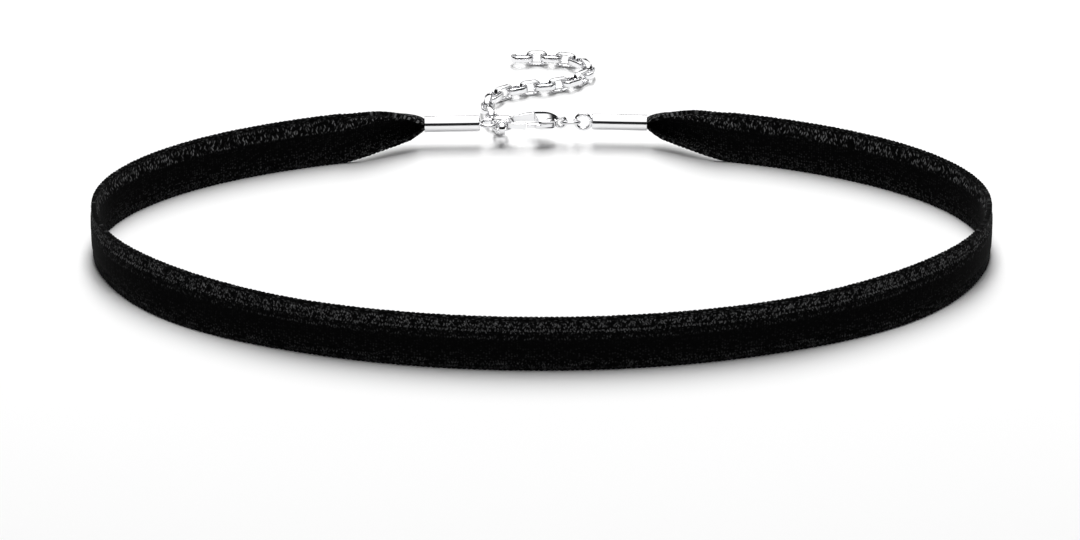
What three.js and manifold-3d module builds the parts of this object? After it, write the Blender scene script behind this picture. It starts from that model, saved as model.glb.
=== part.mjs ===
// A choker necklace: a velvet ribbon loop standing on its lower edge, gathered into two
// polished tube ends that meet behind in a lobster clasp, with an extension chain laid out
// on the surface. Millimetres, +Z up, +Y towards the clasp, resting on z = 0.
import * as THREE from 'three';
import { mergeVertices } from 'three/addons/utils/BufferGeometryUtils.js';
import Module from 'manifold-3d';

const wasm = await Module();
wasm.setup();
const { PI, sin, cos, sqrt, atan2, floor, max, min } = Math;
const radians = THREE.MathUtils.degToRad;

// Ribbon
const ribbonWidth = 8;
const ribbonThickness = 1.1;
const selvedgeThickness = 0.8;
const selvedgeWidth = 1.7;
const loopHalfWidth = 67.5;
const loopFrontDepth = 41.7;
const loopBackDepth = 36.5;
const gatherReach = 13.2;
const gatherSteps = 14;
const loopSteps = 84;

// Tube ends, each with an eye soldered to its closed tip
const tubeDiameter = 2.6;
const tubeWall = 0.25;
const tubeLength = 8.8;
const tubeTipThickness = 0.8;
const tubeTipChamfer = 0.15;
const ribbonInTube = 3.5;
const ribbonToBore = 0.12;
const eyeDiameter = 3.1;
const eyeWire = 0.6;
const solderDepth = 0.2;
const tubeSides = 20;
const rightTubeTurn = -5;

// Clasp
const claspLength = 9.9;
const claspWidth = 4.3;
const claspHookWire = 0.6;
const claspBight = 1.6;
const claspHookHeight = 0.95;
const claspBodyHeight = 1.5;
const claspEyeDiameter = 2.2;
const claspEyeWire = 0.6;
const claspNeckWidth = 1.1;
const leverHeight = 0.7;
const leverSideGap = 0.1;
const leverTipGap = 0.2;
const leverWire = 0.7;
const pinDiameter = 0.6;
const pinGap = 0.12;
const nubHeight = 0.35;
const nubLength = 1.1;

// Ring between the clasp and the right tube end
const ringDiameter = 3.4;
const ringWire = 0.55;
const ringTilt = -17;

// Extension chain of oval belcher links
const linkLength = 3.9;
const linkWidth = 2.4;
const linkBand = 1.05;
const linkWall = 0.38;
const linkPlay = 0.73;
const linkLean = 8;
const linkArcSteps = 6;

// Places
const fasteningShift = -0.9;
const fasteningSetback = 2.5;
const fasteningTurn = 2.2;
const contactGap = 0.1;
const floorGap = 0.08;

// The gather, from the flat ribbon (along 0) to the tube mouth (along 1): curl is the
// angle that the section bends through, width and thickness are shares of the ribbon's
const gatherRows = [
  { along: 0.0, curl: 0, width: 1.0, thickness: 1.0 },
  { along: 0.1, curl: 20, width: 0.99, thickness: 1.0 },
  { along: 0.24, curl: 50, width: 0.985, thickness: 1.0 },
  { along: 0.47, curl: 110, width: 1.0, thickness: 0.95 },
  { along: 0.71, curl: 185, width: 0.88, thickness: 0.85 },
  { along: 0.86, curl: 250, width: 0.7, thickness: 0.72 },
  { along: 0.95, curl: 295, width: 0.54, thickness: 0.6 },
];
const rolledCurl = 318;
const rolledThickness = 0.56;

// Where the extension chain lies: across and behind are measured from the middle of the
// first link, and lift is a share of the drop from its lower bar to the resting height
const chainRoute = [
  { across: -0.13, behind: 0.9, lift: 0.82 },
  { across: -0.25, behind: 2.95, lift: 0.36 },
  { across: -0.7, behind: 5.1, lift: 0.02 },
  { across: -1.6, behind: 7.9, lift: 0 },
  { across: -2.4, behind: 12.0, lift: 0 },
  { across: -2.2, behind: 15.4, lift: 0 },
  { across: -0.2, behind: 18.6, lift: 0 },
  { across: 4.0, behind: 20.9, lift: 0 },
  { across: 8.6, behind: 22.1, lift: 0 },
  { across: 11.9, behind: 24.1, lift: 0 },
  { across: 13.8, behind: 27.2, lift: 0 },
  { across: 13.3, behind: 30.2, lift: 0 },
  { across: 11.3, behind: 32.4, lift: 0 },
  { across: 7.0, behind: 33.6, lift: 0 },
  { across: 1.5, behind: 33.5, lift: 0 },
];

const velvet = { color: 0x0b0b0c, roughness: 0.95, metalness: 0 };
const silver = { color: 0xdcdde0, roughness: 0.15, metalness: 1 };
const group = new THREE.Group();

function addPiece(name, geometry, finish, parent = group) {
  const mesh = new THREE.Mesh(geometry, new THREE.MeshStandardMaterial(finish));
  mesh.name = name;
  parent.add(mesh);
  return mesh;
}

function toSolid(geometry) {
  const bare = geometry.clone();
  bare.deleteAttribute('normal');
  bare.deleteAttribute('uv');
  const merged = mergeVertices(bare, 1e-4);
  const vertProperties = new Float32Array(merged.attributes.position.array);
  const triVerts = new Uint32Array(merged.index.array);
  return new wasm.Manifold(new wasm.Mesh({ numProp: 3, vertProperties, triVerts }));
}

function toGeometry(solid) {
  const { vertProperties, triVerts } = solid.getMesh();
  const geometry = new THREE.BufferGeometry();
  geometry.setAttribute('position', new THREE.BufferAttribute(vertProperties, 3));
  geometry.setIndex(new THREE.BufferAttribute(triVerts, 1));
  return geometry;
}

// Skin over a row of rings that hold the same number of points. A closed row joins its
// last ring to its first. An open one is capped with strips across the ring.
function skin(rings, closed) {
  const count = rings[0].length;
  const positions = rings.flat().flatMap((p) => [p.x, p.y, p.z]);
  const index = [];
  const quad = (a, b, c, d) => index.push(a, b, c, a, c, d);
  for (let i = 0; i < rings.length - (closed ? 0 : 1); i += 1) {
    const here = i * count;
    const next = ((i + 1) % rings.length) * count;
    for (let j = 0; j < count; j += 1) {
      const k = (j + 1) % count;
      quad(here + j, here + k, next + k, next + j);
    }
  }
  if (!closed) {
    const last = (rings.length - 1) * count;
    for (let j = 0; j < count / 2 - 1; j += 1) {
      const across = count - 1 - j;
      quad(j, across, across - 1, j + 1);
      quad(last + j + 1, last + across - 1, last + across, last + j);
    }
  }
  const geometry = new THREE.BufferGeometry();
  geometry.setAttribute('position', new THREE.Float32BufferAttribute(positions, 3));
  geometry.setIndex(index);
  return geometry;
}

// Clasp plan, drawn flat from its hook at x = 0 to its eye at x = claspLength
const nearSide = -0.36 * claspWidth;
const farSide = claspWidth + nearSide;
const claspNeckEnd = claspLength - claspEyeDiameter + claspEyeWire / 2;
const pivotX = claspNeckEnd - 1.1;
const pivotY = nearSide + 0.95;
const pivotRound = 0.68;
const hookTipX = 0.32 * claspLength;
const bodyFaceX = 0.5 * claspLength;
const armInnerY = nearSide + leverWire;

// How far a flat of this width stands off the end of a round hole that it is pulled into
function recess(radius, width) {
  return radius - sqrt(radius * radius - (width * width) / 4);
}

// Fastening row, from the left tube tip to the right one, each piece hooked on the last
const eyeReach = eyeDiameter - solderDepth;
const linkHoleEnd = linkWidth / 2 - linkWall;
const eyeSeat = contactGap + recess(eyeDiameter / 2 - eyeWire, linkBand) + recess(linkHoleEnd, eyeWire);
const hookSeat = contactGap + recess(claspBight / 2, linkBand) + recess(linkHoleEnd, claspHookHeight);
const firstLinkMiddle = eyeReach - eyeWire - eyeSeat - linkWall + linkLength / 2;
const claspStart = firstLinkMiddle + linkLength / 2 - linkWall - hookSeat - claspHookWire;
const ringMiddle = claspStart + claspLength - claspEyeWire - contactGap - ringWire + ringDiameter / 2;
const rightTip = ringMiddle + ringDiameter / 2 - ringWire - contactGap - eyeWire + eyeReach;
const middleHeight = ribbonWidth / 2;

const fastening = new THREE.Group();
fastening.position.set(fasteningShift, loopBackDepth + fasteningSetback, middleHeight);
fastening.rotation.z = radians(fasteningTurn);
group.add(fastening);
const rowStart = -rightTip / 2;
fastening.updateMatrixWorld(true);

// Tube end along +X: open mouth at x = 0, closed tip at x = tubeLength, eye beyond it
function tubeGeometry(eyeUpright) {
  const outer = tubeDiameter / 2;
  const bore = outer - tubeWall;
  const profile = [
    [0, tubeLength - tubeTipThickness],
    [bore, tubeLength - tubeTipThickness],
    [bore, 0],
    [outer, 0],
    [outer, tubeLength - tubeTipChamfer],
    [outer - tubeTipChamfer, tubeLength],
    [0, tubeLength],
  ];
  const tube = new THREE.LatheGeometry(profile.map(([r, y]) => new THREE.Vector2(r, y)), tubeSides);
  tube.rotateZ(-PI / 2);
  const eye = new THREE.TorusGeometry((eyeDiameter - eyeWire) / 2, eyeWire / 2, 8, 20);
  if (eyeUpright) {
    eye.rotateX(PI / 2);
  }
  eye.translate(tubeLength + eyeDiameter / 2 - solderDepth, 0, 0);
  return toGeometry(toSolid(tube).add(toSolid(eye)));
}

const leftTube = addPiece('left_tube_end', tubeGeometry(false), silver, fastening);
leftTube.position.x = rowStart - tubeLength;
const rightTube = addPiece('right_tube_end', tubeGeometry(true), silver, fastening);
const rightTubeAxis = radians(rightTubeTurn);
rightTube.rotation.z = PI + rightTubeAxis;
rightTube.position.set(rowStart + rightTip + tubeLength * cos(rightTubeAxis), tubeLength * sin(rightTubeAxis), 0);

// Mouth of a tube end: where the gathered ribbon enters it, and the way in
function mouthOf(tube) {
  tube.updateWorldMatrix(true, false);
  const point = tube.localToWorld(new THREE.Vector3(0, 0, 0));
  const inside = tube.localToWorld(new THREE.Vector3(1, 0, 0)).sub(point);
  return { point, inside };
}

// Ribbon route as stations with a point, an outward side and a place along the gather
function loopPoint(angle) {
  const depth = sin(angle) < 0 ? loopFrontDepth : loopBackDepth;
  return new THREE.Vector3(loopHalfWidth * cos(angle), depth * sin(angle), middleHeight);
}

function loopDirection(angle) {
  const depth = sin(angle) < 0 ? loopFrontDepth : loopBackDepth;
  return new THREE.Vector3(-loopHalfWidth * sin(angle), depth * cos(angle), 0).normalize();
}

function gatherStations(mouth, angle, side) {
  const start = loopPoint(angle);
  const reach = start.distanceTo(mouth.point);
  const leave = loopDirection(angle).multiplyScalar(side * reach);
  const enter = mouth.inside.clone().multiplyScalar(reach);
  const stations = [];
  for (let i = 1; i <= gatherSteps; i += 1) {
    const t = i / gatherSteps;
    const blend = t * t * (3 - 2 * t);
    const point = start.clone().lerp(mouth.point, blend);
    point.addScaledVector(leave, t * (1 - t) * (1 - t));
    point.addScaledVector(enter, -t * t * (1 - t));
    stations.push({ point, along: t });
  }
  const end = mouth.point.clone().addScaledVector(mouth.inside, ribbonInTube);
  stations.push({ point: end, along: 1 });
  return stations;
}

function ribbonStations() {
  const leftMouth = mouthOf(leftTube);
  const rightMouth = mouthOf(rightTube);
  const startAngle = PI - Math.acos((leftMouth.point.x - gatherReach) / -loopHalfWidth);
  const endAngle = 2 * PI + Math.acos((rightMouth.point.x + gatherReach) / loopHalfWidth);
  const loop = [];
  for (let i = 0; i <= loopSteps; i += 1) {
    const angle = startAngle + ((endAngle - startAngle) * i) / loopSteps;
    loop.push({ point: loopPoint(angle), along: 0 });
  }
  const left = gatherStations(leftMouth, startAngle, -1).reverse();
  const right = gatherStations(rightMouth, endAngle, 1);
  return [...left, ...loop, ...right];
}

function gatherShape(along) {
  const rolled = {
    along: 1,
    curl: rolledCurl,
    width: (radians(rolledCurl) * rolledRadius) / ribbonWidth,
    thickness: rolledThickness / ribbonThickness,
  };
  const rows = [...gatherRows, rolled];
  const next = rows[max(1, rows.findIndex((row) => row.along >= along))];
  const last = rows[rows.indexOf(next) - 1];
  const share = (along - last.along) / (next.along - last.along);
  const mix = (column) => last[column] + (next[column] - last[column]) * share;
  return { curl: max(radians(mix('curl')), 1e-3), width: mix('width'), thickness: mix('thickness') };
}

const rolledRadius = tubeDiameter / 2 - tubeWall - ribbonToBore - rolledThickness / 2;

// Section across the ribbon: the velvet middle between two thinner selvedges
const velvetShare = 1 - (2 * selvedgeWidth) / ribbonWidth;
const edgeRounding = 0.7;
const sectionColumns = [
  { across: -1, half: (edgeRounding * selvedgeThickness) / 2 },
  { across: -0.93, half: selvedgeThickness / 2 },
  { across: -velvetShare, half: selvedgeThickness / 2 },
  { across: -velvetShare + 0.08, half: ribbonThickness / 2 },
  { across: 0, half: ribbonThickness / 2 },
  { across: velvetShare - 0.08, half: ribbonThickness / 2 },
  { across: velvetShare, half: selvedgeThickness / 2 },
  { across: 0.93, half: selvedgeThickness / 2 },
  { across: 1, half: (edgeRounding * selvedgeThickness) / 2 },
];

function ribbonRing(station, outward) {
  const shape = gatherShape(station.along);
  const radius = (ribbonWidth * shape.width) / shape.curl;
  const centring = sin(shape.curl / 2) / (shape.curl / 2);
  const face = (column, sign) => {
    const angle = (column.across * shape.curl) / 2;
    const half = sign * column.half * shape.thickness;
    const out = radius * (cos(angle) - centring) + half * cos(angle);
    const up = (radius + half) * sin(angle);
    return station.point.clone().addScaledVector(outward, out).add(new THREE.Vector3(0, 0, up));
  };
  const inner = sectionColumns.map((column) => face(column, -1));
  const outer = sectionColumns.map((column) => face(column, 1)).reverse();
  return [...inner, ...outer];
}

function ribbonGeometry() {
  const stations = ribbonStations();
  const rings = stations.map((station, i) => {
    const before = stations[max(i - 1, 0)].point;
    const after = stations[min(i + 1, stations.length - 1)].point;
    const way = after.clone().sub(before).normalize();
    return ribbonRing(station, new THREE.Vector3(way.y, -way.x, 0));
  });
  return skin(rings, false);
}

addPiece('velvet_ribbon', ribbonGeometry(), velvet);

function claspOutline() {
  const shape = new THREE.Shape();
  const neck = claspNeckWidth / 2;
  const spineInner = farSide - claspHookWire;
  shape.moveTo(hookTipX, armInnerY);
  shape.lineTo(hookTipX, nearSide);
  shape.bezierCurveTo(0.5 * hookTipX, nearSide, 0, 0.75 * nearSide, 0, 0);
  shape.bezierCurveTo(0, 0.55 * farSide, 0.42 * bodyFaceX, farSide, bodyFaceX, farSide);
  shape.bezierCurveTo(0.72 * claspLength, farSide, 0.77 * claspLength, neck, claspNeckEnd, neck);
  shape.lineTo(claspNeckEnd, -neck);
  shape.bezierCurveTo(pivotX + 1, -neck, pivotX + 0.9, nearSide + 0.3, pivotX, nearSide + 0.25);
  shape.lineTo(bodyFaceX + 0.35, nearSide + 0.45);
  shape.lineTo(bodyFaceX - 0.3, spineInner - 0.25);
  shape.bezierCurveTo(0.4 * bodyFaceX, spineInner, claspHookWire, 0.75 * spineInner, claspHookWire, 0);
  shape.bezierCurveTo(claspHookWire, 0.8 * armInnerY, 0.6 * hookTipX, armInnerY, hookTipX, armInnerY);
  return shape;
}

function claspSide() {
  const hook = claspHookHeight / 2;
  const body = claspBodyHeight / 2;
  const shape = new THREE.Shape();
  shape.moveTo(-1, -hook);
  shape.lineTo(0.6 * hookTipX, -hook);
  shape.quadraticCurveTo(hookTipX, -hook, bodyFaceX, -body);
  shape.lineTo(pivotX + 0.4, -body);
  shape.quadraticCurveTo(claspNeckEnd - 0.2, -body, claspNeckEnd + 1, -0.3 * body);
  shape.lineTo(claspNeckEnd + 1, 0.3 * body);
  shape.quadraticCurveTo(claspNeckEnd - 0.2, body, pivotX + 0.4, body);
  shape.lineTo(bodyFaceX, body);
  shape.quadraticCurveTo(hookTipX, hook, 0.6 * hookTipX, hook);
  shape.lineTo(-1, hook);
  return shape;
}

function extruded(shape, depth, curveSegments) {
  const geometry = new THREE.ExtrudeGeometry(shape, { depth, curveSegments, bevelEnabled: false });
  geometry.translate(0, 0, -depth / 2);
  return geometry;
}

function claspGeometry() {
  const plan = toSolid(extruded(claspOutline(), 2 * claspBodyHeight, 10));
  const side = toSolid(extruded(claspSide(), 3 * claspWidth, 5).rotateX(PI / 2));
  const eye = new THREE.TorusGeometry((claspEyeDiameter - claspEyeWire) / 2, claspEyeWire / 2, 8, 16);
  eye.rotateX(PI / 2);
  eye.translate(claspLength - claspEyeDiameter / 2, 0, 0);
  const slotHeight = leverHeight + 2 * leverSideGap;
  const slotStart = hookTipX + leverTipGap;
  const slotEnd = pivotX + pivotRound + leverSideGap;
  const slotTop = pivotY + 0.42 * claspWidth;
  const slot = new THREE.BoxGeometry(slotEnd - slotStart, slotTop - 2 * nearSide, slotHeight);
  slot.translate((slotStart + slotEnd) / 2, slotTop / 2 + nearSide, 0);
  const pin = new THREE.CylinderGeometry(pinDiameter / 2, pinDiameter / 2, slotHeight + 0.4, 12);
  pin.rotateX(PI / 2);
  pin.translate(pivotX, pivotY, 0);
  const body = plan.intersect(side).add(toSolid(eye)).subtract(toSolid(slot)).add(toSolid(pin));
  return toGeometry(body);
}

function leverGeometry() {
  const bore = pinDiameter / 2 + pinGap;
  const tipX = hookTipX + leverTipGap;
  const nubX = 0.5 * (tipX + pivotX);
  const shape = new THREE.Shape();
  shape.absarc(pivotX, pivotY, pivotRound, -PI / 2, 0.6 * PI, false);
  shape.lineTo(bodyFaceX, armInnerY + 0.25);
  shape.lineTo(tipX, armInnerY);
  shape.lineTo(tipX, nearSide);
  shape.lineTo(nubX - nubLength / 2, nearSide);
  shape.quadraticCurveTo(nubX, nearSide - 2 * nubHeight, nubX + nubLength / 2, nearSide);
  shape.lineTo(pivotX, pivotY - pivotRound);
  const hole = new THREE.Path();
  hole.absarc(pivotX, pivotY, bore, 0, 2 * PI, true);
  shape.holes.push(hole);
  return toGeometry(toSolid(extruded(shape, leverHeight, 6)));
}

const clasp = new THREE.Group();
clasp.position.x = rowStart + claspStart;
fastening.add(clasp);
addPiece('clasp_body', claspGeometry(), silver, clasp);
addPiece('clasp_lever', leverGeometry(), silver, clasp);

const ring = new THREE.TorusGeometry((ringDiameter - ringWire) / 2, ringWire / 2, 8, 18);
ring.rotateX(radians(ringTilt));
ring.translate(rowStart + ringMiddle, 0, 0);
addPiece('clasp_ring', toGeometry(toSolid(ring)), silver, fastening);

// One belcher link lying flat, its long way along X: a D-section band on an oval
function linkGeometry() {
  const endRadius = (linkWidth - linkWall) / 2;
  const straight = (linkLength - linkWidth) / 2;
  const halfWall = linkWall / 2;
  const halfBand = linkBand / 2;
  const section = [
    [-halfWall, 0.78 * halfBand],
    [0.2 * halfWall, halfBand],
    [halfWall, 0.5 * halfBand],
    [halfWall, -0.5 * halfBand],
    [0.2 * halfWall, -halfBand],
    [-halfWall, -0.78 * halfBand],
  ];
  const rings = [];
  for (const end of [1, -1]) {
    for (let i = 0; i <= linkArcSteps; i += 1) {
      const angle = (i / linkArcSteps - 0.5) * PI + (end < 0 ? PI : 0);
      const middle = end * straight;
      rings.push(section.map(([out, up]) => new THREE.Vector3(
        middle + (endRadius + out) * cos(angle),
        (endRadius + out) * sin(angle),
        up,
      )));
    }
  }
  return toGeometry(toSolid(skin(rings, true)));
}

function linkName(number) {
  return `chain_link_${String(number).padStart(2, '0')}`;
}

const firstLink = addPiece(linkName(1), linkGeometry(), silver, fastening);
firstLink.position.x = rowStart + firstLinkMiddle;
firstLink.rotation.x = PI / 2;
firstLink.updateWorldMatrix(true, false);

// The other links follow the route, every second one turned a quarter about its length and
// the ones between leaning with their near side up
function addChain() {
  const hung = firstLink.getWorldPosition(new THREE.Vector3());
  const barHeight = middleHeight - linkWidth / 2 + linkWall;
  const restHeight = linkWidth / 2 + floorGap;
  const points = chainRoute.map(({ across, behind, lift }) => new THREE.Vector3(
    hung.x + across,
    hung.y + behind,
    restHeight + lift * (barHeight - restHeight),
  ));
  const route = new THREE.CatmullRomCurve3(points, false, 'centripetal');
  route.arcLengthDivisions = 600;
  const pitch = linkLength - 2 * linkWall - linkPlay;
  const count = floor(route.getLength() / pitch) + 1;
  for (let i = 0; i < count; i += 1) {
    const share = (i * pitch) / route.getLength();
    const way = route.getTangentAt(share);
    const link = addPiece(linkName(i + 2), linkGeometry(), silver);
    link.position.copy(route.getPointAt(share));
    const lean = radians(linkLean) * way.x;
    link.rotation.order = 'ZYX';
    link.rotation.z = atan2(way.y, way.x);
    link.rotation.y = -atan2(way.z, sqrt(way.x * way.x + way.y * way.y));
    link.rotation.x = i % 2 === 0 ? PI / 2 : -lean;
  }
}

addChain();

// The resting surface is z = 0 and the origin is the middle of the whole outline on it
group.updateMatrixWorld(true);
const outline = new THREE.Box3().setFromObject(group, true);
const middle = outline.getCenter(new THREE.Vector3());
group.position.set(-middle.x, -middle.y, -outline.min.z);

export default group;
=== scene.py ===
import math

import bmesh
import bpy
import numpy as np
from mathutils import Matrix, Vector, noise


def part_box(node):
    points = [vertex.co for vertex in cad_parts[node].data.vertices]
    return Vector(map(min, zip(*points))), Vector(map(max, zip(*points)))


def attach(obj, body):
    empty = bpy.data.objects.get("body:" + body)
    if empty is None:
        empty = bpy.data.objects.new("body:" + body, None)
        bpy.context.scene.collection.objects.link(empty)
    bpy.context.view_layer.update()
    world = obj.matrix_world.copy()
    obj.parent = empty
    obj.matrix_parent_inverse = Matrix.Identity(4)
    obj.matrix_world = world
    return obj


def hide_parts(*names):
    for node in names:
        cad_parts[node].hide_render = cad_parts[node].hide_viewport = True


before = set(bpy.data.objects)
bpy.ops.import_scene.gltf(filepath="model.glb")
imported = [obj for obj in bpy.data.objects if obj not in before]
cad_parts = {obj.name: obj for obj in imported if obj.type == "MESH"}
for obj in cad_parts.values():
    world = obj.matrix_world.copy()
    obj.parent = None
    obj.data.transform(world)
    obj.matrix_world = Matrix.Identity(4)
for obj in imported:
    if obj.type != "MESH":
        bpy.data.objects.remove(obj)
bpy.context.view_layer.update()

scene = bpy.context.scene
mm = 0.001  # pieces are modelled in millimetres and made metres when they are placed

# where the fastening row lies: its middle, its turn, and places counted from the left tube's tip
row = {
    "shift": -0.9,
    "setback": 2.5,
    "height": 4.0,
    "turn": 2.2,
    "tipToTip": 17.777,
    "clasp": 4.077,
    "ring": 14.427,
    "rightTubeTurn": -5.0,
}

ribbon = {
    "width": 8.0,
    "thickness": 1.1,
    "selvedgeThickness": 0.8,
    "selvedgeWidth": 1.7,
    "halfWidth": 67.5,
    "frontDepth": 41.7,
    "backDepth": 36.5,
    "gatherReach": 13.2,
    "gatherLift": 0.88,
    "inTube": 3.5,
    "steps": 1400,
    "columns": 24,
    "scallopPitch": 0.74,
    "edgeReach": 0.07,  # the knurled edges stand this far outside the width
    "scallopDepth": 0.1,  # and their loops this much further
    "edgeStart": 0.93,  # where they begin and how wide they are, as shares of half the ribbon
    "edgeShare": 0.07,
    "lean": 9.0,  # the ribbon leans in between its front and its sides, most at this angle from the front
    "leanAngle": 52.0,
    "leanSpread": 24.0,
    "borderGroove": 0.16,
    "fuzz": 0.035,
}

tubeEnd = {
    "diameter": 2.6,
    "wall": 0.25,
    "length": 8.8,
    "tip": 0.8,
    "tipRound": 0.24,
    "mouthRound": 0.07,
    "sides": 96,
    "eyeDiameter": 3.1,
    "eyeWire": 0.6,
    "solderDepth": 0.2,
    "solderRadius": 0.5,
    "solderShape": (0.75, 1.1, 0.45),
}


# helpers for modelling

def deselectAll():
    bpy.ops.object.select_all(action="DESELECT")


def makeActive(piece):
    deselectAll()
    piece.select_set(True)
    bpy.context.view_layer.objects.active = piece


def applyTransform():
    bpy.ops.object.transform_apply(location=True, rotation=True, scale=True)
    return bpy.context.object


def pick(piece, kind, test):
    # enters edit mode with the faces, edges or vertices that pass the test selected
    makeActive(piece)
    bpy.ops.object.mode_set(mode="EDIT")
    bpy.ops.mesh.select_mode(type=kind)
    bpy.ops.mesh.select_all(action="DESELECT")
    mesh = bmesh.from_edit_mesh(piece.data)
    for item in {"FACE": mesh.faces, "EDGE": mesh.edges, "VERT": mesh.verts}[kind]:
        if test(item):
            item.select_set(True)
    mesh.select_flush_mode()
    bmesh.update_edit_mesh(piece.data)


def objectMode():
    bpy.ops.object.mode_set(mode="OBJECT")


def applyModifier(piece, kind, **settings):
    makeActive(piece)
    modifier = piece.modifiers.new(kind.title(), kind)
    for key, value in settings.items():
        setattr(modifier, key, value)
    bpy.ops.object.modifier_apply(modifier=modifier.name)


def combine(piece, tool, operation):
    applyModifier(piece, "BOOLEAN", object=tool, operation=operation, solver="EXACT")
    bpy.data.objects.remove(tool)


def smooth(piece, degrees):
    makeActive(piece)
    bpy.ops.object.shade_smooth_by_angle(angle=math.radians(degrees))


def finishPiece(piece, name, node, body, material, place=Matrix.Identity(4)):
    # millimetres to metres, into place, on its body, in the CAD node's stead
    piece.name = name
    piece.data.name = name
    piece.data.transform(place @ Matrix.Scale(mm, 4))
    piece.data.materials.clear()
    piece.data.materials.append(material)
    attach(piece, body)
    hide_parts(node)


# helpers for materials

def newMaterial(name):
    material = bpy.data.materials.new(name)
    material.use_nodes = True
    tree = material.node_tree
    return material, tree, tree.nodes["Principled BSDF"]


def addNode(tree, kind, **settings):
    node = tree.nodes.new(kind)
    for key, value in settings.items():
        setattr(node, key, value)
    return node


def compute(tree, operation, *values):
    # a Math node whose inputs are sockets or numbers
    node = addNode(tree, "ShaderNodeMath", operation=operation)
    for i, value in enumerate(values):
        if isinstance(value, (int, float)):
            node.inputs[i].default_value = value
        else:
            tree.links.new(value, node.inputs[i])
    return node.outputs[0]


def ramp(tree, value, start, end, low=0.0, high=1.0):
    # smooth step from low at start to high at end
    node = addNode(tree, "ShaderNodeMapRange", interpolation_type="SMOOTHSTEP")
    node.inputs["From Min"].default_value = start
    node.inputs["From Max"].default_value = end
    node.inputs["To Min"].default_value = low
    node.inputs["To Max"].default_value = high
    tree.links.new(value, node.inputs["Value"])
    return node.outputs[0]


def mixColors(tree, share, first, second):
    node = addNode(tree, "ShaderNodeMix", data_type="RGBA")
    tree.links.new(share, node.inputs["Factor"])
    for socket, value in (("A", first), ("B", second)):
        target = [i for i in node.inputs if i.name == socket and i.type == "RGBA"][0]
        if isinstance(value, tuple):
            target.default_value = (*value, 1)
        else:
            tree.links.new(value, target)
    return [o for o in node.outputs if o.type == "RGBA"][0]


silverLook = {
    "color": (0.8, 0.8, 0.81),
    "roughness": (0.03, 0.06),
    "scratchScale": 900.0,
    "cloudScale": 260.0,
    "bump": 0.03,
}


def polishedSilver():
    material, tree, shader = newMaterial("PolishedSilver")
    place = addNode(tree, "ShaderNodeTexCoord").outputs["Object"]
    cloud = addNode(tree, "ShaderNodeTexNoise")
    cloud.inputs["Scale"].default_value = silverLook["cloudScale"]
    cloud.inputs["Detail"].default_value = 3
    tree.links.new(place, cloud.inputs["Vector"])
    scratch = addNode(tree, "ShaderNodeTexNoise")
    scratch.inputs["Scale"].default_value = silverLook["scratchScale"]
    scratch.inputs["Detail"].default_value = 2
    tree.links.new(place, scratch.inputs["Vector"])
    low, high = silverLook["roughness"]
    tree.links.new(ramp(tree, cloud.outputs[0], 0.35, 0.65, low, high), shader.inputs["Roughness"])
    bump = addNode(tree, "ShaderNodeBump")
    bump.inputs["Strength"].default_value = silverLook["bump"]
    bump.inputs["Distance"].default_value = 0.02 * mm
    tree.links.new(scratch.outputs[0], bump.inputs["Height"])
    tree.links.new(bump.outputs[0], shader.inputs["Normal"])
    shader.inputs["Base Color"].default_value = (*silverLook["color"], 1)
    shader.inputs["Metallic"].default_value = 1
    return material


velvetLook = {
    "pile": (0.0011, 0.0011, 0.0012),
    "fleckSheen": (0.036, 0.036, 0.037),
    # grey of the painted glints on the black selvedge weave
    "threadGlint": (0.19, 0.192, 0.195),
    "fleckPitch": 0.4,
    "outerStroke": (0.38, 0.6),  # pitch and length
    "innerStroke": (0.4, 1.0),
    "rimStroke": (0.85, 0.2),
    "strokeSlant": 0.3,
    "strokeSpread": 0.4,
    "tuftPitch": 2.15,
    "tuftTop": 0.55,
    "tuftBottom": 1.3,
    "tuftSpread": 0.55,
    "stitchPitch": 0.52,
    "stitchDepth": 1.8,
    "stitchRadius": 0.2,
    "outerBand": (0.3, 2.2),  # where the strokes' painted glints show, in millimetres down from the upper edge
    "outerShare": 0.65,
    "faintBand": (2.5, 3.2),
    "faintShare": 0.25,
    "innerBand": (0.5, 2.4),
    # glints on the rims; the lower rim's are painted dimmer, as painted shade under light from above
    "topRimGlintShare": 0.4,
    "lowRimShadedGlintShare": 0.25,
    "gatherStart": 17.0,  # the weave's glints are painted brighter from here to gatherFull, counted from the ribbon's ends, as painted highlight on the gathered folds
    "gatherFull": 9.0,
    "bumpStrength": 0.8,
    "bumpDepth": 0.1,
    "roughness": 0.9,
    "specular": 0.03,
    "sheen": 0.008,
    "sheenRoughness": 0.35,
}


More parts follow.
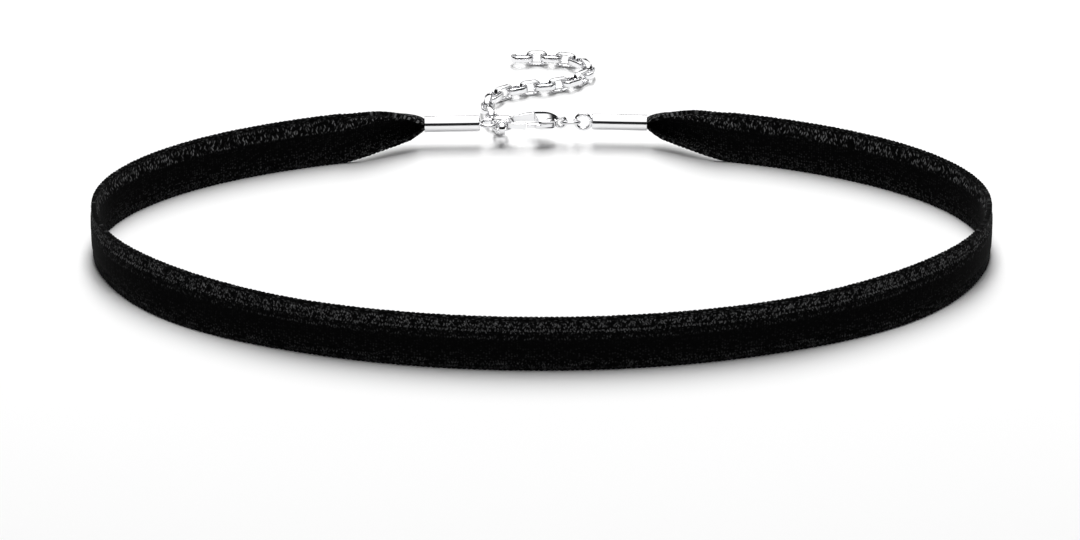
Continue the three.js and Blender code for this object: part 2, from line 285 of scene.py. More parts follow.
def wovenVelvet(length):
    # the UV map made millimetres: u runs along the ribbon, v up it, and the inner face lies a width higher
    look = velvetLook
    width = ribbon["width"]
    material, tree, shader = newMaterial("WovenVelvet")
    uv = addNode(tree, "ShaderNodeUVMap", uv_map="UVMap")
    scaled = addNode(tree, "ShaderNodeMapping")
    scaled.inputs["Scale"].default_value = (length, width, 1)
    tree.links.new(uv.outputs[0], scaled.inputs["Vector"])
    split = addNode(tree, "ShaderNodeSeparateXYZ")
    tree.links.new(scaled.outputs[0], split.inputs[0])
    u, high = split.outputs[0], split.outputs[1]
    inner = compute(tree, "GREATER_THAN", high, width)
    outer = compute(tree, "SUBTRACT", 1, inner)
    v = compute(tree, "MULTIPLY_ADD", inner, -width, high)
    fromTop = compute(tree, "SUBTRACT", width, v)

    def times(*values):
        product = values[0]
        for value in values[1:]:
            product = compute(tree, "MULTIPLY", product, value)
        return product

    def band(value, start, end, soft=0.2):
        rise = ramp(tree, value, start - soft, start + soft)
        fall = ramp(tree, value, end + soft, end - soft)
        return times(rise, fall)

    def cells(pitch, tall, slant, spread):
        # one blob to a cell, with the cell's own random shade
        flat = addNode(tree, "ShaderNodeCombineXYZ")
        slanted = compute(tree, "MULTIPLY_ADD", high, slant, u)
        tree.links.new(compute(tree, "DIVIDE", slanted, pitch), flat.inputs[0])
        tree.links.new(compute(tree, "DIVIDE", high, tall), flat.inputs[1])
        blobs = addNode(tree, "ShaderNodeTexVoronoi", voronoi_dimensions="2D")
        blobs.inputs["Scale"].default_value = 1
        blobs.inputs["Randomness"].default_value = 0.8
        tree.links.new(flat.outputs[0], blobs.inputs["Vector"])
        shade = addNode(tree, "ShaderNodeSeparateColor")
        tree.links.new(blobs.outputs["Color"], shade.inputs[0])
        return ramp(tree, blobs.outputs["Distance"], spread, 0.1), shade.outputs[0]

    def strokes(pitch, tall):
        # short threads that lean either way
        layers = []
        for slant in (look["strokeSlant"], -look["strokeSlant"]):
            blob, blobShade = cells(pitch, tall, slant, look["strokeSpread"])
            layers.append(times(blob, ramp(tree, blobShade, 0.35, 1)))
        return compute(tree, "MAXIMUM", *layers)

    def dots(pitch, along, depth, radius):
        # a row of soft dots at that depth under the upper edge
        wave = compute(tree, "PINGPONG", along, pitch / 2)
        drop = compute(tree, "SUBTRACT", fromTop, depth)
        far = compute(tree, "SQRT", compute(tree, "ADD", times(wave, wave), times(drop, drop)))
        return ramp(tree, far, radius, radius * 0.3)

    def clouds(scale, detail):
        noiseNode = addNode(tree, "ShaderNodeTexNoise", noise_dimensions="2D")
        noiseNode.inputs["Scale"].default_value = scale
        noiseNode.inputs["Detail"].default_value = detail
        tree.links.new(scaled.outputs[0], noiseNode.inputs["Vector"])
        return noiseNode.outputs[0]

    drift = clouds(0.45, 2)
    wobble = clouds(2.2, 2)
    moved = compute(tree, "MULTIPLY_ADD", wobble, 0.9, u)
    uneven = ramp(tree, drift, 0.3, 0.7, 0.65, 1)

    # outer face: tufts and a row of stitches between short strokes, all painted as grey glints of light on
    # the black weave
    stroke = strokes(*look["outerStroke"])
    tuftWave = compute(tree, "PINGPONG", moved, look["tuftPitch"] / 2)
    leg = compute(tree, "MULTIPLY", compute(tree, "SUBTRACT", fromTop, look["tuftTop"]), look["tuftSpread"])
    offLeg = compute(tree, "ABSOLUTE", compute(tree, "SUBTRACT", tuftWave, leg))
    tuft = times(ramp(tree, offLeg, 0.18, 0.04), band(fromTop, look["tuftTop"], look["tuftBottom"], 0.15))
    tuft = times(tuft, compute(tree, "MULTIPLY_ADD", stroke, 0.7, 0.4))
    stitches = dots(look["stitchPitch"], moved, look["stitchDepth"], look["stitchRadius"])
    stitches = times(stitches, ramp(tree, wobble, 0.4, 0.56), 0.6)
    bands = compute(
        tree, "ADD",
        times(band(fromTop, *look["outerBand"]), look["outerShare"]),
        times(band(fromTop, *look["faintBand"]), look["faintShare"]))
    edging = times(stroke, bands)
    outerGlint = compute(tree, "MAXIMUM", times(tuft, 0.9), compute(tree, "MAXIMUM", stitches, edging))

    # inner face: a broad band of longer strokes, painted glints that are brighter than the outer face's as
    # painted light
    innerGlint = times(strokes(*look["innerStroke"]), band(fromTop, *look["innerBand"], 0.25))

    # both faces: dashes along both rims, painted dimmer at the lower rim as painted shade, faint ribs at
    # the lower edge and specks in the pile
    rim, rimShade = cells(*look["rimStroke"], 0.0, 0.42)
    rims = compute(
        tree, "ADD",
        times(ramp(tree, fromTop, 0.55, 0.3), look["topRimGlintShare"]),
        times(ramp(tree, v, 0.5, 0.3), look["lowRimShadedGlintShare"]))
    fromMiddle = compute(tree, "ABSOLUTE", compute(tree, "SUBTRACT", u, length / 2))
    # painted highlight: the glints on the rims, the ribs and the whole weave brighten on the gathered ends,
    # where the folds catch the light
    foldHighlightMask = ramp(
        tree, fromMiddle, length / 2 - look["gatherStart"], length / 2 - look["gatherFull"])
    rims = times(rims, compute(tree, "MULTIPLY_ADD", foldHighlightMask, 1.6, 1))
    # the ribs at the lower edge are painted faint, as painted shade under light from above
    ribs = times(stroke, band(v, 0.2, 1.3, 0.3), compute(tree, "MULTIPLY_ADD", foldHighlightMask, 0.35, 0.25))
    lower = compute(tree, "MAXIMUM", ribs, times(rim, rimShade, rims))
    upper = compute(tree, "ADD", times(outerGlint, outer), times(innerGlint, inner))
    foldHighlight = compute(tree, "MULTIPLY_ADD", foldHighlightMask, 0.4, 1)
    threadGlint = times(compute(tree, "MAXIMUM", upper, lower), uneven, foldHighlight)
    # painted sheen: grey specks in the black pile stand for its fibres catching the light, stronger towards
    # the lower edge and on the inner face
    speck, speckShade = cells(look["fleckPitch"], look["fleckPitch"], 0.0, 0.5)
    sheenSpecks = times(speck, ramp(tree, speckShade, 0.35, 0.9))
    sheenSpecks = times(sheenSpecks, ramp(tree, v, 4.2, 0.6, 0.22, 1), compute(tree, "MULTIPLY_ADD", inner, 0.4, 0.6))

    pile = mixColors(tree, sheenSpecks, look["pile"], look["fleckSheen"])
    # painted highlight: the grey of the strokes stands for glints of light on the black selvedge weave, not
    # for a grey thread
    tree.links.new(mixColors(tree, threadGlint, pile, look["threadGlint"]), shader.inputs["Base Color"])
    relief = compute(tree, "MAXIMUM", threadGlint, times(stroke, band(fromTop, 0.1, 2.1), 0.5))
    height = compute(tree, "ADD", relief, times(sheenSpecks, 0.4))
    bump = addNode(tree, "ShaderNodeBump")
    bump.inputs["Strength"].default_value = look["bumpStrength"]
    bump.inputs["Distance"].default_value = look["bumpDepth"] * mm
    tree.links.new(height, bump.inputs["Height"])
    tree.links.new(bump.outputs[0], shader.inputs["Normal"])
    shader.inputs["Roughness"].default_value = look["roughness"]
    shader.inputs["Specular IOR Level"].default_value = look["specular"]
    shader.inputs["Sheen Weight"].default_value = look["sheen"]
    shader.inputs["Sheen Roughness"].default_value = look["sheenRoughness"]
    return material


ribbonLow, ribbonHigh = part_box("velvet_ribbon")
loopMiddle = Vector((
    (ribbonLow.x + ribbonHigh.x) / 2 / mm,
    ribbonLow.y / mm + ribbon["frontDepth"] + ribbon["thickness"] / 2,
    0,
))
rowPlace = (
    Matrix.Translation((
        loopMiddle.x + row["shift"],
        loopMiddle.y + ribbon["backDepth"] + row["setback"],
        row["height"],
    ))
    @ Matrix.Rotation(math.radians(row["turn"]), 4, "Z")
)
rowStart = -row["tipToTip"] / 2
rightTurn = math.radians(row["rightTubeTurn"])
leftTubePlace = rowPlace @ Matrix.Translation((rowStart - tubeEnd["length"], 0, 0))
rightTubePlace = (
    rowPlace
    @ Matrix.Translation((
        -rowStart + tubeEnd["length"] * math.cos(rightTurn),
        tubeEnd["length"] * math.sin(rightTurn),
        0,
    ))
    @ Matrix.Rotation(math.pi + rightTurn, 4, "Z")
)


def inMetres(place):
    # the same place for a mesh that is already in metres
    return Matrix.Translation(place.translation * mm) @ place.to_3x3().to_4x4()


silver = polishedSilver()

# how the ribbon curls up on its way into a tube: 0 is the flat ribbon and 1 the tube's mouth
gatherRows = [
    {"along": 0.0, "curl": 0, "width": 1.0, "thickness": 1.0},
    {"along": 0.1, "curl": 38, "width": 0.99, "thickness": 1.0},
    {"along": 0.24, "curl": 80, "width": 0.985, "thickness": 1.0},
    {"along": 0.47, "curl": 140, "width": 0.975, "thickness": 0.95},
    {"along": 0.6, "curl": 170, "width": 0.95, "thickness": 0.9},
    {"along": 0.8, "curl": 216, "width": 0.88, "thickness": 0.8},
    {"along": 0.9, "curl": 252, "width": 0.75, "thickness": 0.7},
    {"along": 0.96, "curl": 285, "width": 0.63, "thickness": 0.6},
    {"along": 1.0, "curl": 318, "width": 0.451, "thickness": 0.51},
]


def loopPoint(angle):
    depth = ribbon["frontDepth"] if math.sin(angle) < 0 else ribbon["backDepth"]
    point = Vector((ribbon["halfWidth"] * math.cos(angle), depth * math.sin(angle), ribbon["width"] / 2))
    return loopMiddle + point


def loopDirection(angle):
    depth = ribbon["frontDepth"] if math.sin(angle) < 0 else ribbon["backDepth"]
    return Vector((-ribbon["halfWidth"] * math.sin(angle), depth * math.cos(angle), 0)).normalized()


def gatherRoute(tubePlace, angle, side, count=80):
    mouth = tubePlace.translation
    inside = (tubePlace.to_3x3() @ Vector((1, 0, 0))).normalized()
    start = loopPoint(angle)
    reach = (mouth - start).length
    leave = loopDirection(angle) * side * reach
    points = []
    for i in range(1, count + 1):
        t = i / count
        point = start.lerp(mouth, t * t * (3 - 2 * t))
        point = point + leave * (t * (1 - t) ** 2) - inside * reach * (t * t * (1 - t))
        point.z += ribbon["gatherLift"] * math.sin(math.pi * t) ** 2 * (1 - t)
        points.append((*point, t, 0))
    points.append((*(mouth + inside * ribbon["inTube"]), 1, 0))
    return points


def ribbonRoute():
    # points of the ribbon's middle line, each with its place along the gather and its lean
    reach = ribbon["gatherReach"]
    leftX = (leftTubePlace.translation.x - loopMiddle.x - reach) / -ribbon["halfWidth"]
    rightX = (rightTubePlace.translation.x - loopMiddle.x + reach) / ribbon["halfWidth"]
    start = math.pi - math.acos(leftX)
    end = 2 * math.pi + math.acos(rightX)
    loop = []
    for angle in np.linspace(start, end, 600):
        fromFront = abs(math.degrees(angle) - 270)
        off = min(1, abs(fromFront - ribbon["leanAngle"]) / ribbon["leanSpread"])
        lean = ribbon["lean"] * math.cos(off * math.pi / 2) ** 2
        loop.append((*loopPoint(angle), 0, math.radians(lean)))
    left = gatherRoute(leftTubePlace, start, -1)
    right = gatherRoute(rightTubePlace, end, 1)
    return np.array(left[::-1] + loop + right)


def makeRibbon():
    route = ribbonRoute()
    steps = np.linalg.norm(np.diff(route[:, :3], axis=0), axis=1)
    distance = np.concatenate([[0], np.cumsum(steps)])
    length = distance[-1]

    deselectAll()
    bpy.ops.mesh.primitive_grid_add(
        x_subdivisions=ribbon["steps"], y_subdivisions=ribbon["columns"], size=1)
    piece = bpy.context.object
    mesh = piece.data
    flat = np.empty(len(mesh.vertices) * 3, np.float32)
    mesh.vertices.foreach_get("co", flat)
    flat = flat.reshape(-1, 3).astype(float)
    share = flat[:, 0] + 0.5
    across = flat[:, 1] * 2
    along = share * length

    # columns gather at the border between velvet and selvedge and at the edges
    border = 1 - 2 * ribbon["selvedgeWidth"] / ribbon["width"]
    even = np.linspace(-1, 1, 13)
    upper = [border - 0.05, border + 0.03, 0.7, 0.84, 0.95, 1]
    uneven = [-c for c in reversed(upper)] + [0] + upper
    across = np.interp(across, even, uneven)

    place = np.stack([np.interp(along, distance, route[:, k]) for k in range(3)], axis=1)
    ahead = np.stack([np.interp(along + 0.3, distance, route[:, k]) for k in range(3)], axis=1)
    behind = np.stack([np.interp(along - 0.3, distance, route[:, k]) for k in range(3)], axis=1)
    way = ahead - behind
    way /= np.linalg.norm(way, axis=1)[:, None]
    outward = np.stack([way[:, 1], -way[:, 0], np.zeros(len(way))], axis=1)
    gather = np.interp(along, distance, route[:, 3])

    def shape(column):
        return np.interp(gather, [r["along"] for r in gatherRows], [r[column] for r in gatherRows])

    curl = np.maximum(np.radians(shape("curl")), 1e-3)
    radius = ribbon["width"] * shape("width") / curl
    centring = np.sin(curl / 2) / (curl / 2)

    # small woven loops along both edges
    scallop = np.abs(np.sin(math.pi * along / ribbon["scallopPitch"])) ** 0.7
    edge = np.clip((np.abs(across) - ribbon["edgeStart"]) / ribbon["edgeShare"], 0, 1)
    loops = ribbon["edgeReach"] + scallop * ribbon["scallopDepth"]
    reach = np.sign(across) * edge * loops * shape("width")
    angle = (across + 2 * reach / ribbon["width"]) * curl / 2
    out = radius * (np.cos(angle) - centring)
    up = radius * np.sin(angle)
    fuzz = np.array([
        noise.noise(Vector((a * 1.7, c * 6.0, 0))) + 0.6 * noise.noise(Vector((a * 4.1, c * 13.0, 5)))
        for a, c in zip(along, across)
    ]) * ribbon["fuzz"]
    out += fuzz * np.cos(angle)
    up += fuzz * np.sin(angle)
    lean = np.interp(along, distance, route[:, 4])
    place = place + outward * (out * np.cos(lean) - up * np.sin(lean))[:, None]
    lift = ribbon["edgeReach"] + ribbon["scallopDepth"]
    place[:, 2] += up * np.cos(lean) + out * np.sin(lean) + lift * (1 - gather)
    mesh.vertices.foreach_set("co", place.astype(np.float32).ravel())
    mesh.update()

    # UV follows the real spacing of the columns
    layer = mesh.uv_layers[0]
    layer.name = "UVMap"
    corners = np.empty(len(mesh.loops), np.int32)
    mesh.loops.foreach_get("vertex_index", corners)
    uv = np.stack([share[corners], (across[corners] + 1) / 2], axis=1)
    layer.uv.foreach_set("vector", uv.astype(np.float32).ravel())

    # thick pile between two thinner selvedges, thinned at the border and towards the edges
    full = ribbon["thickness"]
    thin = ribbon["selvedgeThickness"] / full
    outer = np.abs(across)
    columns = [0, border - 0.09, border - 0.03, border + 0.01, border + 0.06, 0.86, 0.96, 1.0]
    groove = thin * (1 - ribbon["borderGroove"])
    profile = [1, 1, 0.94, groove, thin, thin, thin, thin * 0.8]
    thickness = np.interp(outer, columns, profile) * shape("thickness")
    thickness *= 1 - 0.35 * edge * (1 - scallop)
    group = piece.vertex_groups.new(name="thickness")
    for i, value in enumerate(thickness):
        group.add([i], float(value), "REPLACE")
    faceCount = len(mesh.polygons)
    applyModifier(piece, "SOLIDIFY", thickness=full, offset=0, vertex_group="thickness", use_rim=True)

    # the inner face's UV is moved up by one, so that the material can tell the faces apart
    layer = mesh.uv_layers["UVMap"]
    uv = np.empty(len(mesh.loops) * 2, np.float32)
    layer.uv.foreach_get("vector", uv)
    uv[8 * faceCount + 1:16 * faceCount:2] += 1
    layer.uv.foreach_set("vector", uv)
    piece.vertex_groups.clear()
    makeActive(piece)
    bpy.ops.object.mode_set(mode="EDIT")
    bpy.ops.mesh.select_all(action="SELECT")
    bpy.ops.mesh.normals_make_consistent(inside=False)
    objectMode()
    bpy.ops.object.shade_smooth()
    return piece, length


ribbonPiece, ribbonLength = makeRibbon()
finishPiece(ribbonPiece, "VelvetRibbon", "velvet_ribbon", "necklace", wovenVelvet(ribbonLength))
print(f"ribbon: {ribbonLength:.1f} mm long, {len(ribbonPiece.data.polygons)} faces")


def makeTubeEnd(eyeUpright):
    length = tubeEnd["length"]
    deselectAll()
    bpy.ops.mesh.primitive_cylinder_add(
        vertices=tubeEnd["sides"], radius=tubeEnd["diameter"] / 2, depth=length,
        location=(length / 2, 0, 0), rotation=(0, math.pi / 2, 0))
    tube = applyTransform()
    pick(tube, "FACE", lambda face: face.normal.x < -0.9)
    bpy.ops.mesh.inset(thickness=tubeEnd["wall"])
    bpy.ops.mesh.extrude_region_move(TRANSFORM_OT_translate={"value": (length - tubeEnd["tip"], 0, 0)})
    objectMode()
    pick(tube, "EDGE", lambda edge: edge.calc_face_angle(0) > 1 and all(
        v.co.x < 1e-4 for v in edge.verts))
    bpy.ops.mesh.bevel(offset=tubeEnd["mouthRound"], segments=3, affect="EDGES")
    objectMode()
    pick(tube, "EDGE", lambda edge: edge.calc_face_angle(0) > 1 and all(
        v.co.x > length - 1e-4 for v in edge.verts))
    bpy.ops.mesh.bevel(offset=tubeEnd["tipRound"], segments=5, affect="EDGES")
    objectMode()

    middle = length + tubeEnd["eyeDiameter"] / 2 - tubeEnd["solderDepth"]
    deselectAll()
    bpy.ops.mesh.primitive_torus_add(
        major_segments=64, minor_segments=20, location=(middle, 0, 0),
        rotation=(math.pi / 2 if eyeUpright else 0, 0, 0),
        major_radius=(tubeEnd["eyeDiameter"] - tubeEnd["eyeWire"]) / 2, minor_radius=tubeEnd["eyeWire"] / 2)
    eye = applyTransform()
    deselectAll()
    bpy.ops.mesh.primitive_uv_sphere_add(
        segments=32, ring_count=16, radius=tubeEnd["solderRadius"], location=(length, 0, 0),
        rotation=(0, math.pi / 2, 0), scale=tubeEnd["solderShape"])
    solder = applyTransform()
    combine(eye, solder, "UNION")
    combine(tube, eye, "UNION")
    smooth(tube, 32)
    return tube


for eyeUpright, name, node, place in (
    (False, "LeftTubeEnd", "left_tube_end", leftTubePlace),
    (True, "RightTubeEnd", "right_tube_end", rightTubePlace),
):
    finishPiece(makeTubeEnd(eyeUpright), name, node, "necklace", silver, inMetres(place))
print("tube ends: done")

clasp = {
    "length": 9.9,
    "width": 4.3,
    "hookWire": 0.6,
    "hookHeight": 0.95,
    "bodyHeight": 1.5,
    "eyeDiameter": 2.2,
    "eyeWire": 0.6,
    "neckWidth": 1.1,
    "pinDiameter": 0.6,
    "pinSeat": 0.3,
    "pinHead": 0.85,
    "pinHeadHeight": 0.2,
    "pinHeadRound": 0.04,
    "pinHeadProud": 0.06,
    "pinFromNeck": 1.1,
    "pinFromSide": 0.95,
    "nearShare": 0.36,  # shares of the width and the length
    "slotShare": 0.42,
    "hookTipShare": 0.32,
    "bodyFaceShare": 0.5,
    "crownWidth": 1.25,
    "crownDrop": 0.24,
    "bulge": 0.2,
    "bulgeStart": 2.0,
    "bulgeLength": 6.5,
    "voxel": 0.055,
    "smoothing": 9,
}
lever = {
    "height": 0.7,
    "sideGap": 0.1,
    "tipGap": 0.2,
    "wire": 0.7,
    "round": 0.68,
    "bore": 0.42,
    "nubHeight": 0.35,
    "nubLength": 1.1,
    "edgeRound": 0.12,
}
nearSide = -clasp["nearShare"] * clasp["width"]
farSide = clasp["width"] + nearSide
neckEnd = clasp["length"] - clasp["eyeDiameter"] + clasp["eyeWire"] / 2
pivotX = neckEnd - clasp["pinFromNeck"]
pivotY = nearSide + clasp["pinFromSide"]
hookTipX = clasp["hookTipShare"] * clasp["length"]
bodyFaceX = clasp["bodyFaceShare"] * clasp["length"]
armInnerY = nearSide + lever["wire"]
claspPlace = rowPlace @ Matrix.Translation((rowStart + row["clasp"], 0, 0))


def bezier(a, b, c, d, count=14):
    points = []
    for i in range(1, count + 1):
        t = i / count
        points.append(tuple(
            (1 - t) ** 3 * p + 3 * t * (1 - t) ** 2 * q + 3 * t * t * (1 - t) * r + t ** 3 * s
            for p, q, r, s in zip(a, b, c, d)))
    return points


def claspOutline():
    # from the hook's tip round the outside to the neck and the pin, and back along the inside
    length = clasp["length"]
    neck = clasp["neckWidth"] / 2
    hookWire = clasp["hookWire"]
    spineInner = farSide - hookWire
    points = [(hookTipX, armInnerY), (hookTipX, nearSide)]
    points += bezier(points[-1], (0.5 * hookTipX, nearSide), (0, 0.75 * nearSide), (0, 0))
    points += bezier(points[-1], (0, 0.55 * farSide), (0.42 * bodyFaceX, farSide), (bodyFaceX, farSide))
    points += bezier(
        points[-1], (0.74 * length, farSide), (0.87 * length, 0.62 * farSide), (neckEnd + 0.45, neck))
    points.append((neckEnd, -neck))
    points += bezier(
        points[-1], (pivotX + 1, -neck), (pivotX + 0.9, nearSide + 0.3), (pivotX, nearSide + 0.25))
    points.append((bodyFaceX + 0.35, nearSide + 0.45))
    points.append((bodyFaceX - 0.3, spineInner - 0.25))
    points += bezier(
        points[-1], (0.4 * bodyFaceX, spineInner), (hookWire, 0.75 * spineInner), (hookWire, 0))
    points += bezier(
        points[-1], (hookWire, 0.8 * armInnerY), (0.6 * hookTipX, armInnerY), (hookTipX, armInnerY))
    return points[:-1]


def claspSide():
    # the clasp seen from its near side: thin hook, full body, tapered neck
    hook = clasp["hookHeight"] / 2
    body = clasp["bodyHeight"] / 2
    top = [(-1, hook), (0.6 * hookTipX, hook)]
    top += bezier(top[-1], (0.85 * hookTipX, hook), (0.8 * bodyFaceX, body), (bodyFaceX, body), 10)
    top.append((pivotX - 0.6, body))
    top += bezier(top[-1], (pivotX + 0.4, body), (neckEnd, 0.65 * body), (neckEnd + 1, 0.35 * body), 10)
    return top + [(x, -z) for x, z in reversed(top)]


def plate(points, height, turn=0.0):
    # an outline laid out with a filled circle's vertices, then extruded to that height
    deselectAll()
    bpy.ops.mesh.primitive_circle_add(vertices=len(points), fill_type="NGON")
    piece = bpy.context.object
    for vertex, (x, y) in zip(piece.data.vertices, points):
        vertex.co = (x, y, -height / 2)
    makeActive(piece)
    bpy.ops.object.mode_set(mode="EDIT")
    bpy.ops.mesh.select_all(action="SELECT")
    bpy.ops.mesh.extrude_region_move(TRANSFORM_OT_translate={"value": (0, 0, height)})
    bpy.ops.mesh.select_all(action="SELECT")
    bpy.ops.mesh.normals_make_consistent(inside=False)
    objectMode()
    piece.rotation_euler.x = turn
    return applyTransform()


def makePin(radius, height, bevel=0.0, level=0.0):
    deselectAll()
    bpy.ops.mesh.primitive_cylinder_add(
        vertices=40, radius=radius, depth=height, location=(pivotX, pivotY, level))
    pin = applyTransform()
    if bevel:
        pick(pin, "EDGE", lambda edge: edge.calc_face_angle(0) > 1)
        bpy.ops.mesh.bevel(offset=bevel, segments=3, affect="EDGES")
        objectMode()
    return pin


def makeClaspBody():
    body = plate(claspOutline(), 2 * clasp["bodyHeight"])
    side = plate(claspSide(), 3 * clasp["width"], math.pi / 2)
    combine(body, side, "INTERSECT")
    deselectAll()
    bpy.ops.mesh.primitive_torus_add(
        major_segments=56, minor_segments=18, location=(clasp["length"] - clasp["eyeDiameter"] / 2, 0, 0),
        rotation=(math.pi / 2, 0, 0), major_radius=(clasp["eyeDiameter"] - clasp["eyeWire"]) / 2,
        minor_radius=clasp["eyeWire"] / 2)
    combine(body, applyTransform(), "UNION")
    makeActive(body)
    body.data.remesh_voxel_size = clasp["voxel"]
    bpy.ops.object.voxel_remesh()
    applyModifier(body, "SMOOTH", factor=0.5, iterations=clasp["smoothing"])

    # the spine bulges a little on its far side, and its top and bottom roll off there
    for vertex in body.data.vertices:
        spineShare = (vertex.co.x - clasp["bulgeStart"]) / clasp["bulgeLength"]
        swell = math.sin(math.pi * min(1, max(0, spineShare)))
        past = max(0, vertex.co.y - farSide + clasp["crownWidth"]) / clasp["crownWidth"]
        vertex.co.y *= 1 + clasp["bulge"] * swell * (vertex.co.y > 0)
        vertex.co.z *= 1 - clasp["crownDrop"] * past ** 2

    slotHeight = lever["height"] + 2 * lever["sideGap"]
    slotStart = hookTipX + lever["tipGap"]
    slotEnd = pivotX + lever["round"] + lever["sideGap"]
    slotTop = pivotY + clasp["slotShare"] * clasp["width"]
    deselectAll()
    bpy.ops.mesh.primitive_cube_add(
        size=1, location=((slotStart + slotEnd) / 2, slotTop / 2 + nearSide, 0),
        scale=(slotEnd - slotStart, slotTop - 2 * nearSide, slotHeight))
    combine(body, applyTransform(), "DIFFERENCE")
    combine(body, makePin(clasp["pinDiameter"] / 2, slotHeight + clasp["pinSeat"]), "UNION")
    headHeight = clasp["pinHeadHeight"]
    for side in (-1, 1):
        level = side * (clasp["bodyHeight"] / 2 + clasp["pinHeadProud"] - headHeight / 2)
        head = makePin(clasp["pinHead"] / 2, headHeight, clasp["pinHeadRound"], level)
        combine(body, head, "UNION")
    smooth(body, 40)
    return body


def makeLever():
    tipX = hookTipX + lever["tipGap"]
    nubX = 0.5 * (tipX + pivotX)
    points = []
    for i in range(17):
        angle = -math.pi / 2 + i / 16 * 1.1 * math.pi
        points.append((
            pivotX + lever["round"] * math.cos(angle),
            pivotY + lever["round"] * math.sin(angle)))
    points += [(bodyFaceX, armInnerY + 0.25), (tipX, armInnerY), (tipX, nearSide)]
    nub = (nubX, nearSide - 2 * lever["nubHeight"])
    left, right = nubX - lever["nubLength"] / 2, nubX + lever["nubLength"] / 2
    for i in range(9):
        t = i / 8
        points.append((
            (1 - t) ** 2 * left + 2 * t * (1 - t) * nub[0] + t * t * right,
            (1 - t) ** 2 * nearSide + 2 * t * (1 - t) * nub[1] + t * t * nearSide))
    piece = plate(points, lever["height"])
    applyModifier(
        piece, "BEVEL", width=lever["edgeRound"], segments=3, limit_method="ANGLE",
        angle_limit=math.radians(50))
    combine(piece, makePin(lever["bore"], 2), "DIFFERENCE")
    smooth(piece, 40)
    return piece


finishPiece(makeClaspBody(), "ClaspBody", "clasp_body", "necklace", silver, inMetres(claspPlace))
finishPiece(makeLever(), "ClaspLever", "clasp_lever", "lever", silver, inMetres(claspPlace))
print("clasp: body and lever done")

# the ring between the clasp and the right tube end
joinRing = {
    "diameter": 3.4,
    "wire": 0.55,
    "tilt": -17.0,
    "slit": 1.6,
    "slitAt": 100.0,
}


def makeRing():
    deselectAll()
    middle = (joinRing["diameter"] - joinRing["wire"]) / 2
    bpy.ops.mesh.primitive_circle_add(
        vertices=22, radius=joinRing["wire"] / 2, location=(middle, 0, 0), rotation=(math.pi / 2, 0, 0))
    ring = applyTransform()
    bpy.ops.object.mode_set(mode="EDIT")
    bpy.ops.mesh.select_all(action="SELECT")
    bpy.ops.mesh.spin(
        steps=90, angle=math.radians(360 - joinRing["slit"]), center=(0, 0, 0), axis=(0, 0, 1))
    bpy.ops.mesh.select_all(action="SELECT")
    bpy.ops.mesh.fill_holes(sides=0)
    bpy.ops.mesh.select_all(action="SELECT")
    bpy.ops.mesh.normals_make_consistent(inside=False)
    objectMode()
    smooth(ring, 50)
    return ring


ringPlace = (
    rowPlace
    @ Matrix.Translation((rowStart + row["ring"], 0, 0))
    @ Matrix.Rotation(math.radians(joinRing["tilt"]), 4, "X")
    @ Matrix.Rotation(math.radians(joinRing["slitAt"]), 4, "Z")
)
finishPiece(makeRing(), "ClaspRing", "clasp_ring", "necklace", silver, inMetres(ringPlace))
print("ring: done")

# the chain of oval belcher links
chainLink = {
    "length": 3.9,
    "width": 2.4,
    "band": 1.05,
    "wall": 0.38,
    "steps": 52,
    "sides": 20,
    "outerCrown": 2.5,
    "innerCrown": 4.0,
}


def makeLink():
    wall = chainLink["wall"] / 2
    band = chainLink["band"] / 2
    middle = chainLink["width"] / 2 - wall
    straight = (chainLink["length"] - chainLink["width"]) / 2
    deselectAll()
    bpy.ops.mesh.primitive_torus_add(
        major_segments=chainLink["steps"], minor_segments=chainLink["sides"], major_radius=middle,
        minor_radius=wall, rotation=(0, 0, math.pi / chainLink["steps"]))
    link = applyTransform()
    for vertex in link.data.vertices:
        turn = math.atan2(vertex.co.y, vertex.co.x)
        out = (math.hypot(vertex.co.x, vertex.co.y) - middle) / wall
        up = vertex.co.z / wall
        power = 2 / (chainLink["outerCrown"] if out > 0 else chainLink["innerCrown"])
        radius = middle + math.copysign(abs(out) ** power, out) * wall
        across = math.copysign(abs(up) ** power, up) * band
        end = straight if math.cos(turn) > 0 else -straight
        vertex.co = (radius * math.cos(turn) + end, radius * math.sin(turn), across)
    smooth(link, 40)
    return link


def lieOf(node):
    # a link's middle and its long, wide and thin directions, from the CAD node's own points
    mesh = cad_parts[node].data
    points = np.empty(len(mesh.vertices) * 3, np.float32)
    mesh.vertices.foreach_get("co", points)
    points = np.unique(points.reshape(-1, 3).round(7), axis=0).astype(float)
    centred = points - points.mean(axis=0)
    _, directions = np.linalg.eigh(centred.T @ centred)
    long, wide = Vector(directions[:, 2]), Vector(directions[:, 1])
    thin = long.cross(wide)
    turn = Matrix((long, wide, thin)).transposed().to_4x4()
    return Matrix.Translation(points.mean(axis=0)) @ turn


linkModel = makeLink()
linkNodes = sorted(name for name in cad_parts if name.startswith("chain_link_"))
for name in linkNodes:
    link = linkModel.copy()
    link.data = linkModel.data.copy()
    scene.collection.objects.link(link)
    number = name.split("_")[-1]
    finishPiece(link, "ChainLink" + number, name, "necklace", silver, lieOf(name))
bpy.data.objects.remove(linkModel)
print(f"chain: {len(linkNodes)} links")

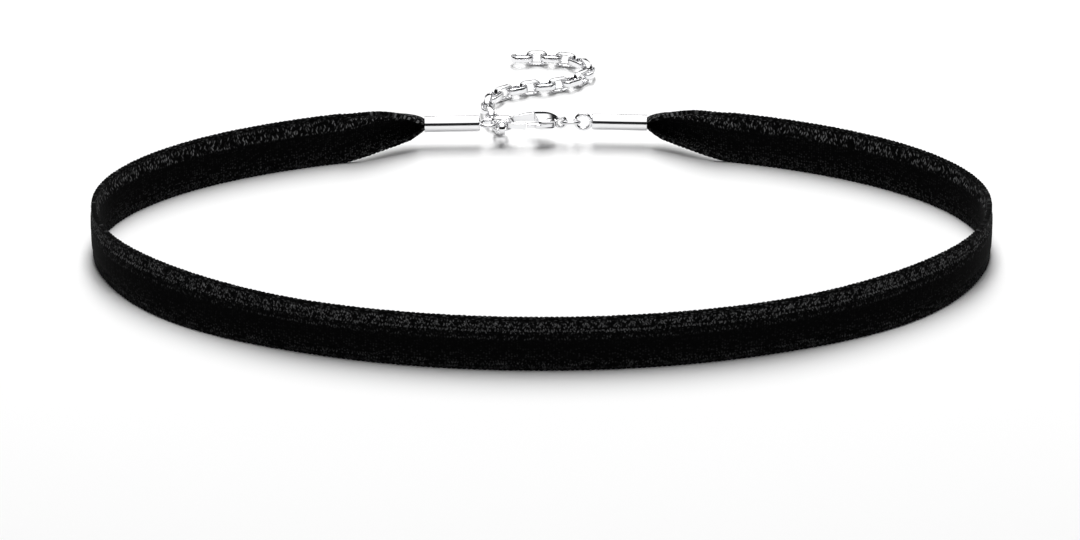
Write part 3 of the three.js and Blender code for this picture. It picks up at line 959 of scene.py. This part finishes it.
# floor, light and camera
studio = {
    "floorSize": 4.0,
    "floorColor": (0.92, 0.92, 0.92),
    "fill": 0.08,
    "tent": 1.35,
    "stripPlace": (0.0, 0.46, 0.9),
    "stripSize": (0.34, 1.2),
    "stripPower": 14.0,
    "ringFoot": (2.5, 4.0),  # degrees up: the dark ring's lower edge, then its top on each side
    "ringFront": 35.0,
    "ringSides": 52.0,
    "ringBehind": 21.5,
    "ringColor": (0.012, 0.012, 0.013),
}
deselectAll()
bpy.ops.mesh.primitive_plane_add(size=studio["floorSize"], location=(0, 0, 0))
floor = bpy.context.object
floor.name = "Floor"
floorMaterial, _, floorShader = newMaterial("PaleFloor")
floorShader.inputs["Base Color"].default_value = (*studio["floorColor"], 1)
floorShader.inputs["Roughness"].default_value = 1
floorShader.inputs["Specular IOR Level"].default_value = 0
floor.data.materials.append(floorMaterial)

stripData = bpy.data.lights.new("StripSoftbox", "AREA")
stripData.shape = "RECTANGLE"
stripData.size, stripData.size_y = studio["stripSize"]
stripData.energy = studio["stripPower"]
strip = bpy.data.objects.new("StripSoftbox", stripData)
strip.location = studio["stripPlace"]
scene.collection.objects.link(strip)

# what the silver reflects is a white tent with a dark ring low down all round, highest at the
# sides and lowest behind; the floor and the cloth get plain white fill
tent = bpy.data.worlds.new("Tent")
tent.use_nodes = True
scene.world = tent
tree = tent.node_tree
background = tree.nodes["Background"]
split = addNode(tree, "ShaderNodeSeparateXYZ")
tree.links.new(addNode(tree, "ShaderNodeTexCoord").outputs["Generated"], split.inputs[0])
x, y, z = split.outputs
height = compute(tree, "DEGREES", compute(tree, "ARCSINE", z))
forward = compute(tree, "MULTIPLY", y, -1)
side = compute(tree, "DEGREES", compute(tree, "ARCTAN2", x, forward))
side = compute(tree, "ABSOLUTE", side)
frontTop = ramp(tree, side, 40, 60, studio["ringFront"], studio["ringSides"])
backDrop = ramp(tree, side, 120, 140, 0, studio["ringBehind"] - studio["ringSides"])
ringTop = compute(tree, "ADD", frontTop, backDrop)
aboveFoot = ramp(tree, height, *studio["ringFoot"])
belowTop = ramp(tree, compute(tree, "SUBTRACT", height, ringTop), 1, -1)
darkRing = compute(tree, "MULTIPLY", aboveFoot, belowTop)
shade = mixColors(tree, darkRing, (1, 1, 1), studio["ringColor"])
lightPath = addNode(tree, "ShaderNodeLightPath")
seen = mixColors(tree, lightPath.outputs["Is Glossy Ray"], (1, 1, 1), shade)
tree.links.new(seen, background.inputs["Color"])
strength = compute(
    tree, "MULTIPLY_ADD", lightPath.outputs["Is Diffuse Ray"],
    studio["fill"] - studio["tent"], studio["tent"])
tree.links.new(strength, background.inputs["Strength"])

photoView = {
    "elevation": 25.0,
    "distance": 0.713,
    "target": (-0.24, -7.75),  # from the loop's middle, in millimetres
    "focalPixels": 4750.0,
    "widthPixels": 1080.0,
}
cameraData = bpy.data.cameras.new("PhotoCamera")
cameraData.sensor_width = 36
cameraData.lens = photoView["focalPixels"] / photoView["widthPixels"] * cameraData.sensor_width
cameraData.clip_start = 0.05
camera = bpy.data.objects.new("PhotoCamera", cameraData)
tilt = math.radians(photoView["elevation"])
back = Vector((0, -math.cos(tilt), math.sin(tilt)))
target = (loopMiddle + Vector((*photoView["target"], 0))) * mm
camera.location = target + back * photoView["distance"]
camera.rotation_euler = (-back).to_track_quat("-Z", "Y").to_euler()
scene.collection.objects.link(camera)
scene.camera = camera
scene.view_settings.view_transform = "Standard"
print("studio: floor, light and camera done")
